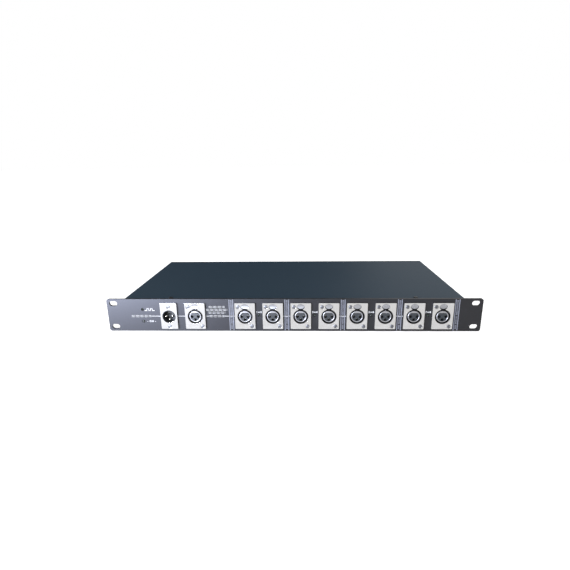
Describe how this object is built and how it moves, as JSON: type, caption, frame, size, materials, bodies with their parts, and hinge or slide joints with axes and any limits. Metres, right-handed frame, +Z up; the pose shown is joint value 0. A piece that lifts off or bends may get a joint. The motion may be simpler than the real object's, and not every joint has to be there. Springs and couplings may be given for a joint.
{
  "type": "dmx splitter",
  "caption": "One-unit rack-mounting lighting data splitter: input plug, through socket and a row of latching output sockets on a slotted panel, boards and supply inside.",
  "frame": {"origin": "middle of the bounding box's footprint, at the height of the panel's lower edge and the underside", "axes": "+X along the panel, +Y from the panel to the rear wall, so the front faces -Y, +Z up"},
  "size_m": [0.4826, 0.2192, 0.044],
  "materials": {
    "panel_paint": "semi-gloss dark grey anodised or painted plate",
    "case_paint": "satin dark blue-grey powder coat",
    "satin_nickel": "satin nickel plate on zinc die casting",
    "black_plastic": "black moulded nylon",
    "contact_silver": "silver plated brass",
    "lamp_lens": "tinted clear epoxy, unlit",
    "board_laminate": "green solder resist on glass laminate",
    "winding_tape": "amber polyester tape over copper wire",
    "zinc_steel": "zinc plated steel",
    "fuse_glass": "clear glass tube with plated caps",
    "brown_insulation": "brown PVC insulation",
    "blue_insulation": "blue PVC insulation",
    "green_insulation": "green PVC insulation",
    "grey_insulation": "grey PVC insulation"
  },
  "bodies": {
    "case": {"front_panel": "panel_paint", "chassis_tray": "case_paint", "top_cover": "case_paint", "input_shell": "satin_nickel", "input_insert": "black_plastic", "input_pin_1": "contact_silver", "input_pin_2": "contact_silver", "input_pin_3": "contact_silver", "thru_shell": "satin_nickel", "thru_insert": "black_plastic", "output_1_shell": "satin_nickel", "output_1_insert": "black_plastic", "output_2_shell": "satin_nickel", "output_2_insert": "black_plastic", "output_3_shell": "satin_nickel", "output_3_insert": "black_plastic", "output_4_shell": "satin_nickel", "output_4_insert": "black_plastic", "output_5_shell": "satin_nickel", "output_5_insert": "black_plastic", "output_6_shell": "satin_nickel", "output_6_insert": "black_plastic", "output_7_shell": "satin_nickel", "output_7_insert": "black_plastic", "output_8_shell": "satin_nickel", "output_8_insert": "black_plastic", "data_lamp": "lamp_lens", "power_lamp": "lamp_lens", "pair_lamp_1": "lamp_lens", "pair_lamp_2": "lamp_lens", "pair_lamp_3": "lamp_lens", "pair_lamp_4": "lamp_lens", "connector_board": "board_laminate", "main_board": "board_laminate", "link_ribbon": "grey_insulation", "toroid_winding": "winding_tape", "toroid_washer": "zinc_steel", "toroid_bolt": "zinc_steel", "inlet_body": "black_plastic", "inlet_blade_neutral": "contact_silver", "inlet_blade_live": "contact_silver", "inlet_blade_earth": "contact_silver", "switch_body": "black_plastic", "live_wire": "brown_insulation", "switched_wire": "brown_insulation", "neutral_wire": "blue_insulation", "earth_wire": "green_insulation", "secondary_wire": "grey_insulation"},
    "drawer": {"fuse_drawer": "black_plastic", "fuse": "fuse_glass"},
    "rocker": {"switch_rocker": "black_plastic"},
    "thru_latch": {"thru_latch": "satin_nickel"},
    "output_1_latch": {"output_1_latch": "satin_nickel"},
    "output_2_latch": {"output_2_latch": "satin_nickel"},
    "output_3_latch": {"output_3_latch": "satin_nickel"},
    "output_4_latch": {"output_4_latch": "satin_nickel"},
    "output_5_latch": {"output_5_latch": "satin_nickel"},
    "output_6_latch": {"output_6_latch": "satin_nickel"},
    "output_7_latch": {"output_7_latch": "satin_nickel"},
    "output_8_latch": {"output_8_latch": "satin_nickel"}
  },
  "joints": [
    {"name": "thru_latch_pivot", "type": "hinge", "parent": "case", "child": "thru_latch", "pos_m": [-0.12549, -0.10606, 0.0362], "axis": [1, 0, 0], "range_deg": [0, 12], "stiffness_Nm_per_rad": 0.1, "springref_deg": -11.46},
    {"name": "output_1_latch_pivot", "type": "hinge", "parent": "case", "child": "output_1_latch", "pos_m": [-0.0605, -0.10606, 0.0362], "axis": [1, 0, 0], "range_deg": [0, 12], "stiffness_Nm_per_rad": 0.1, "springref_deg": -11.46},
    {"name": "output_2_latch_pivot", "type": "hinge", "parent": "case", "child": "output_2_latch", "pos_m": [-0.0245, -0.10606, 0.0362], "axis": [1, 0, 0], "range_deg": [0, 12], "stiffness_Nm_per_rad": 0.1, "springref_deg": -11.46},
    {"name": "output_3_latch_pivot", "type": "hinge", "parent": "case", "child": "output_3_latch", "pos_m": [0.0115, -0.10606, 0.0362], "axis": [1, 0, 0], "range_deg": [0, 12], "stiffness_Nm_per_rad": 0.1, "springref_deg": -11.46},
    {"name": "output_4_latch_pivot", "type": "hinge", "parent": "case", "child": "output_4_latch", "pos_m": [0.0475, -0.10606, 0.0362], "axis": [1, 0, 0], "range_deg": [0, 12], "stiffness_Nm_per_rad": 0.1, "springref_deg": -11.46},
    {"name": "output_5_latch_pivot", "type": "hinge", "parent": "case", "child": "output_5_latch", "pos_m": [0.0835, -0.10606, 0.0362], "axis": [1, 0, 0], "range_deg": [0, 12], "stiffness_Nm_per_rad": 0.1, "springref_deg": -11.46},
    {"name": "output_6_latch_pivot", "type": "hinge", "parent": "case", "child": "output_6_latch", "pos_m": [0.1195, -0.10606, 0.0362], "axis": [1, 0, 0], "range_deg": [0, 12], "stiffness_Nm_per_rad": 0.1, "springref_deg": -11.46},
    {"name": "output_7_latch_pivot", "type": "hinge", "parent": "case", "child": "output_7_latch", "pos_m": [0.15551, -0.10606, 0.0362], "axis": [1, 0, 0], "range_deg": [0, 12], "stiffness_Nm_per_rad": 0.1, "springref_deg": -11.46},
    {"name": "output_8_latch_pivot", "type": "hinge", "parent": "case", "child": "output_8_latch", "pos_m": [0.19151, -0.10606, 0.0362], "axis": [1, 0, 0], "range_deg": [0, 12], "stiffness_Nm_per_rad": 0.1, "springref_deg": -11.46},
    {"name": "rocker_tilt", "type": "hinge", "parent": "case", "child": "rocker", "pos_m": [0.1254, 0.10304, 0.0215], "axis": [1, 0, 0], "range_deg": [-20, 0]},
    {"name": "drawer_slide", "type": "slide", "parent": "case", "child": "drawer", "axis": [0, 1, 0], "range_m": [0, 0.0165]}
  ]
}
